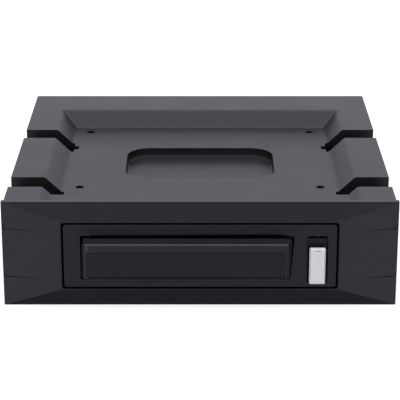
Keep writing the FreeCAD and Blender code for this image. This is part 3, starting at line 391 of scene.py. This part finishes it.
def node_shape(node):
    """Mesh of a CAD node as a new shape to work on."""
    shape = bmesh.new()
    shape.from_mesh(nodes[node].data)
    bmesh.ops.remove_doubles(shape, verts=shape.verts, dist=MERGE)
    return shape


def skin(shape, rings):
    """Faces that join successive rings of points, and one at each end; the joining faces are returned."""
    sides = []
    for ring, after in zip(rings, rings[1:]):
        for n in range(len(ring)):
            m = (n + 1) % len(ring)
            sides.append(shape.faces.new((ring[n], ring[m], after[m], after[n])))
    shape.faces.new(rings[0])
    shape.faces.new(rings[-1])
    return sides


def new_object(shape, name):
    """Object that takes over a finished shape."""
    mesh = bpy.data.meshes.new(name)
    shape.to_mesh(mesh)
    shape.free()
    item = bpy.data.objects.new(name, mesh)
    scene.collection.objects.link(item)
    return item


# Band of the caddy front above the handle, which leans back towards the opening below it and fades at its ends.
BROW_HEIGHTS = (0.0288, 0.0330)
BROW_ENDS = (-0.039, 0.029)
BROW_FALL = 0.006
BROW_DEPTH = 0.0008
BROW_CURVE = 1.15
BROW_STEPS = 10
BROW_FALL_STEPS = 6
PANEL_FRONT = -0.0048
FACES_FRONT = -0.999
SQUARE_TO_AXIS = 0.9999
X_AXIS, Z_AXIS = Vector((1.0, 0.0, 0.0)), Vector((0.0, 0.0, 1.0))


def brow_faces(shape):
    """Faces of the caddy front's foremost plane that reach into the band's height."""
    low, high = BROW_HEIGHTS
    found = []
    for face in shape.faces:
        heights = [vert.co.z for vert in face.verts]
        foremost = all(abs(vert.co.y - PANEL_FRONT) < TOLERANCE for vert in face.verts)
        reaches = max(heights) > low + TOLERANCE and min(heights) < high - TOLERANCE
        if face.normal.y < FACES_FRONT and foremost and reaches:
            found.append(face)
    return found


def cut_brow(shape, axis, level):
    """Cut the band's faces at one level along an axis."""
    parts = set()
    for face in brow_faces(shape):
        parts.update((face, *face.edges, *face.verts))
    bmesh.ops.bisect_plane(shape, geom=list(parts), dist=MERGE, plane_co=axis * level, plane_no=axis)


def clamped(share):
    """Share kept between 0 and 1."""
    return min(max(share, 0.0), 1.0)


def rolled_front():
    """Caddy front with the leaning band in place of the plain one."""
    low, high = BROW_HEIGHTS
    left_end, right_end = BROW_ENDS
    shape = node_shape("caddy_front")
    bmesh.ops.dissolve_limit(shape, angle_limit=FLAT_ANGLE, verts=shape.verts, edges=shape.edges)
    for step in range(1, BROW_STEPS + 1):
        cut_brow(shape, Z_AXIS, low + (high - low) * step / BROW_STEPS)
    for step in range(BROW_FALL_STEPS + 1):
        cut_brow(shape, X_AXIS, left_end - BROW_FALL * step / BROW_FALL_STEPS)
        cut_brow(shape, X_AXIS, right_end + BROW_FALL * step / BROW_FALL_STEPS)
    for face in shape.faces:
        face.smooth = face.smooth and max(abs(c) for c in face.normal) < SQUARE_TO_AXIS
    rolled = set()
    for face in brow_faces(shape):
        rolled.update(face.verts)
        middle = face.calc_center_median()
        face.smooth = left_end - BROW_FALL < middle.x < right_end + BROW_FALL
    for vert in rolled:
        down = clamped((high - vert.co.z) / (high - low))
        left = clamped((vert.co.x - left_end) / BROW_FALL + 1.0)
        right = clamped((right_end - vert.co.x) / BROW_FALL + 1.0)
        if vert.co.z > low - TOLERANCE:
            vert.co.y += BROW_DEPTH * down ** BROW_CURVE * left * right
    piece = new_object(shape, "caddy_front_rolled")
    # The node's stored normals no longer fit the faces that were cut and moved.
    if "custom_normal" in piece.data.attributes:
        piece.data.attributes.remove(piece.data.attributes["custom_normal"])
    piece.data.materials.append(looks["panel_plastic"].material)
    soften(piece, PANEL_ROUND)
    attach(piece, "caddy")
    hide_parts("caddy_front")


rolled_front()

# Cross recess of a screw: length and half width of an arm, and depth.
CROSS_ARM = 0.00145
CROSS_HALF = 0.00032
CROSS_DEPTH = 0.0009
CROSS_OUTLINE = [
    (CROSS_HALF, CROSS_HALF), (CROSS_HALF, CROSS_ARM), (-CROSS_HALF, CROSS_ARM), (-CROSS_HALF, CROSS_HALF),
    (-CROSS_ARM, CROSS_HALF), (-CROSS_ARM, -CROSS_HALF), (-CROSS_HALF, -CROSS_HALF), (-CROSS_HALF, -CROSS_ARM),
    (CROSS_HALF, -CROSS_ARM), (CROSS_HALF, -CROSS_HALF), (CROSS_ARM, -CROSS_HALF), (CROSS_ARM, CROSS_HALF),
]


def islands(mesh):
    """Lowest and highest corner of each loose part of a mesh."""
    shape = bmesh.new()
    shape.from_mesh(mesh)
    left = set(shape.verts)
    boxes = []
    while left:
        grown = [left.pop()]
        points = []
        while grown:
            vert = grown.pop()
            points.append(vert.co.copy())
            for edge in vert.link_edges:
                other = edge.other_vert(vert)
                if other in left:
                    left.remove(other)
                    grown.append(other)
        low = [min(point[n] for point in points) for n in range(3)]
        high = [max(point[n] for point in points) for n in range(3)]
        boxes.append((low, high))
    shape.free()
    return sorted(boxes)


def cross_cutter(boxes, axis):
    """Plus-shaped prisms that reach into the screw heads; the heads are low in Z or high in Y."""
    shape = bmesh.new()
    for low, high in boxes:
        x, y, z = ((a + b) / 2 for a, b in zip(low, high))
        rings = []
        for reach in (-CROSS_DEPTH, CROSS_DEPTH):
            if axis == "z":
                ring = [(x + u, y + v, low[2] + reach) for u, v in CROSS_OUTLINE]
            else:
                ring = [(x + u, high[1] + reach, z + v) for u, v in CROSS_OUTLINE]
            rings.append([shape.verts.new(point) for point in ring])
        skin(shape, rings)
    bmesh.ops.recalc_face_normals(shape, faces=shape.faces)
    return new_object(shape, "cross_cutter")


def recessed_screws(node, axis, body, head_round):
    """Screws with a cross recess and a softened head in place of a node's plain ones."""
    piece = new_object(node_shape(node), node + "_recessed")
    cutter = cross_cutter(islands(piece.data), axis)
    flatten(piece)
    round_edges(piece, head_round, segments=3, angle=50.0)
    cut = piece.modifiers.new("cross", "BOOLEAN")
    cut.operation = "DIFFERENCE"
    cut.solver = "EXACT"
    cut.object = cutter
    shown = piece.evaluated_get(bpy.context.evaluated_depsgraph_get())
    piece.data = bpy.data.meshes.new_from_object(shown)
    piece.modifiers.clear()
    bpy.data.objects.remove(cutter)
    piece.data.materials.clear()
    piece.data.materials.append(looks["screw_steel"].material)
    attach(piece, body)
    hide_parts(node)


recessed_screws("base_screws", "z", "housing", FLUSH_HEAD_ROUND)
recessed_screws("runner_screws", "z", "housing", FLUSH_HEAD_ROUND)
recessed_screws("rear_screws", "y", "housing", RAISED_HEAD_ROUND)
recessed_screws("board_screws", "y", "housing", RAISED_HEAD_ROUND)
recessed_screws("front_screws", "y", "caddy", RAISED_HEAD_ROUND)

# Contacts of the two plugs: spacing, width and rise of one, and the tongue's top and its ends along Y.
CONTACT_PITCH = 0.00127
CONTACT_WIDTH = 0.00084
CONTACT_RISE = 0.00006
CONTACT_BEVEL = CONTACT_RISE * 0.4
TONGUE_TOP = 0.01485
TONGUE_ENDS = (0.1319, 0.1384)
DATA_CONTACTS = 7
POWER_CONTACTS = 15


def contacts(name, plug_node, count):
    """Row of gilded contacts on top of a plug's tongue."""
    low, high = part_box(plug_node)
    middle = (low[0] + high[0]) / 2
    start, end = TONGUE_ENDS
    size = Vector((CONTACT_WIDTH, end - start, 2 * CONTACT_RISE))
    shape = bmesh.new()
    for n in range(count):
        centre = Vector((middle + (n - (count - 1) / 2) * CONTACT_PITCH, (start + end) / 2, TONGUE_TOP))
        for vert in bmesh.ops.create_cube(shape, size=1.0)["verts"]:
            vert.co = centre + vert.co * size
    bmesh.ops.bevel(shape, geom=list(shape.edges), offset=CONTACT_BEVEL, segments=1, affect="EDGES")
    piece = new_object(shape, name)
    piece.data.materials.append(looks["contact_gold"].material)
    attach(piece, "housing")


contacts("data_contacts", "data_plug", DATA_CONTACTS)
contacts("power_contacts", "power_plug", POWER_CONTACTS)

# Rim round the handle's top and free end: inner and outer points (x, z) in millimetres, and the share by
# which its section has turned from the top's plain slope into the end's ridge beside a groove.
RIM_PATH = [
    ((-43.5, 26.0), (-43.5, 27.8), 0.0), ((32.6, 26.0), (32.6, 27.8), 0.0),
    ((33.1, 26.0), (33.35, 27.65), 0.15), ((33.4, 25.95), (33.85, 27.25), 0.4),
    ((33.5, 25.8), (34.12, 26.65), 0.7), ((33.5, 25.2), (34.2, 25.6), 0.9),
    ((33.5, 24.0), (34.18, 24.0), 1.0), ((33.5, 15.0), (33.85, 15.0), 1.0),
]
# Sections of the rim: share of the way from inner to outer point, and y in millimetres.
RIM_SLOPE = [(-0.1, -5.45), (0.45, -5.25), (0.5, -5.22), (1.0, -5.0), (1.0, -4.3), (-0.1, -4.3)]
RIM_RIDGE = [(-0.1, -4.6), (0.45, -4.6), (0.5, -5.3), (1.0, -5.2), (1.0, -4.3), (-0.1, -4.3)]
MILLIMETRE = 0.001


def handle_rim():
    """Rim that follows the handle's upper edge and turns down beside its free end."""
    shape = bmesh.new()
    rings = []
    for inner, outer, turned in RIM_PATH:
        ring = []
        for slope, ridge in zip(RIM_SLOPE, RIM_RIDGE):
            across, depth = (a + turned * (b - a) for a, b in zip(slope, ridge))
            x, z = (a + across * (b - a) for a, b in zip(inner, outer))
            ring.append(shape.verts.new(Vector((x, depth, z)) * MILLIMETRE))
        rings.append(ring)
    skin(shape, rings)
    bmesh.ops.recalc_face_normals(shape, faces=shape.faces)
    piece = new_object(shape, "handle_rim")
    piece.data.materials.append(looks["rim_plastic"].material)
    round_edges(piece, RIM_ROUND, segments=2, angle=40.0)
    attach(piece, "handle")


handle_rim()

# Latch spring: turns, radius of the wire, and steps along the wire and sides round it.
COIL_TURNS = 5.0
COIL_WIRE = 0.00022
COIL_STEPS = 120
COIL_SIDES = 10


def coil_spring():
    """Round-wire spring over the latch, in place of the node's plain one."""
    low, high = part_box("latch_spring")
    centre = [(a + b) / 2 for a, b in zip(low, high)]
    radius = (high[0] - low[0]) / 2 - COIL_WIRE
    length = high[2] - low[2]
    rise = length - 2 * COIL_WIRE
    shape = bmesh.new()
    rings = []
    for step in range(COIL_STEPS + 1):
        share = step / COIL_STEPS
        angle = 2 * math.pi * COIL_TURNS * share
        out = Vector((math.cos(angle), math.sin(angle), 0.0))
        middle = Vector((centre[0], centre[1], low[2] + COIL_WIRE + rise * share)) + out * radius
        ring = []
        for side in range(COIL_SIDES):
            turn = 2 * math.pi * side / COIL_SIDES
            offset = out * math.cos(turn) + Vector((0.0, 0.0, math.sin(turn)))
            ring.append(shape.verts.new(middle + offset * COIL_WIRE))
        rings.append(ring)
    for face in skin(shape, rings):
        face.smooth = True
    bmesh.ops.recalc_face_normals(shape, faces=shape.faces)
    piece = new_object(shape, "latch_coil")
    piece.data.materials.append(looks["spring_steel"].material)
    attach(piece, "caddy")
    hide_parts("latch_spring")
    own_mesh(piece)


coil_spring()

# White floor just under the enclosure, which glows enough to stay white and is not mirrored in the plastic.
FLOOR_SIZE = 8.0
FLOOR_CENTRE_Y = 1.0
FLOOR_DROP = 0.0002
FLOOR_GREY = (0.5, 0.5, 0.5)
FLOOR_GLOW = 0.74

bpy.ops.mesh.primitive_plane_add(size=FLOOR_SIZE, location=(0.0, FLOOR_CENTRE_Y, cad_box[0][2] - FLOOR_DROP))
floor = bpy.context.object
floor.name = "floor"
paper = Look("paper", FLOOR_GREY, 0.8, specular=0.1)
paper.tint(paper.noise(scale=3.0, detail=2.0), spread=0.005)
paper.inputs["Emission Color"].default_value = (1.0, 1.0, 1.0, 1.0)
paper.inputs["Emission Strength"].default_value = FLOOR_GLOW
floor.data.materials.append(paper.material)
floor.visible_glossy = False
